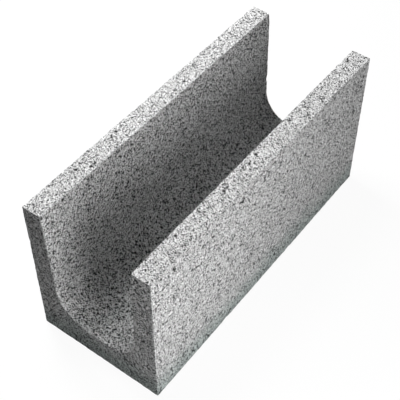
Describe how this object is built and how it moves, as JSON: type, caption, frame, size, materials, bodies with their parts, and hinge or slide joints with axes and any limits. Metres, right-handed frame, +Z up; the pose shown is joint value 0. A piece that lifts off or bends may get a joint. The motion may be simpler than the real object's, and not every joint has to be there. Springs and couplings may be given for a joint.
{
  "type": "concrete channel block",
  "caption": "U-shaped concrete masonry block with drafted walls and a rounded channel, open upwards and at the ends, laid in a row as lasting formwork for a reinforced beam.",
  "frame": {"origin": "middle of the flat bottom that the block rests on", "axes": "+Y along the channel, +X across the walls, +Z up, towards the channel's open side"},
  "size_m": [0.2, 0.494, 0.244],
  "materials": {
    "concrete": "matte"
  },
  "bodies": {
    "root": {"u_block": "concrete"}
  },
  "joints": []
}
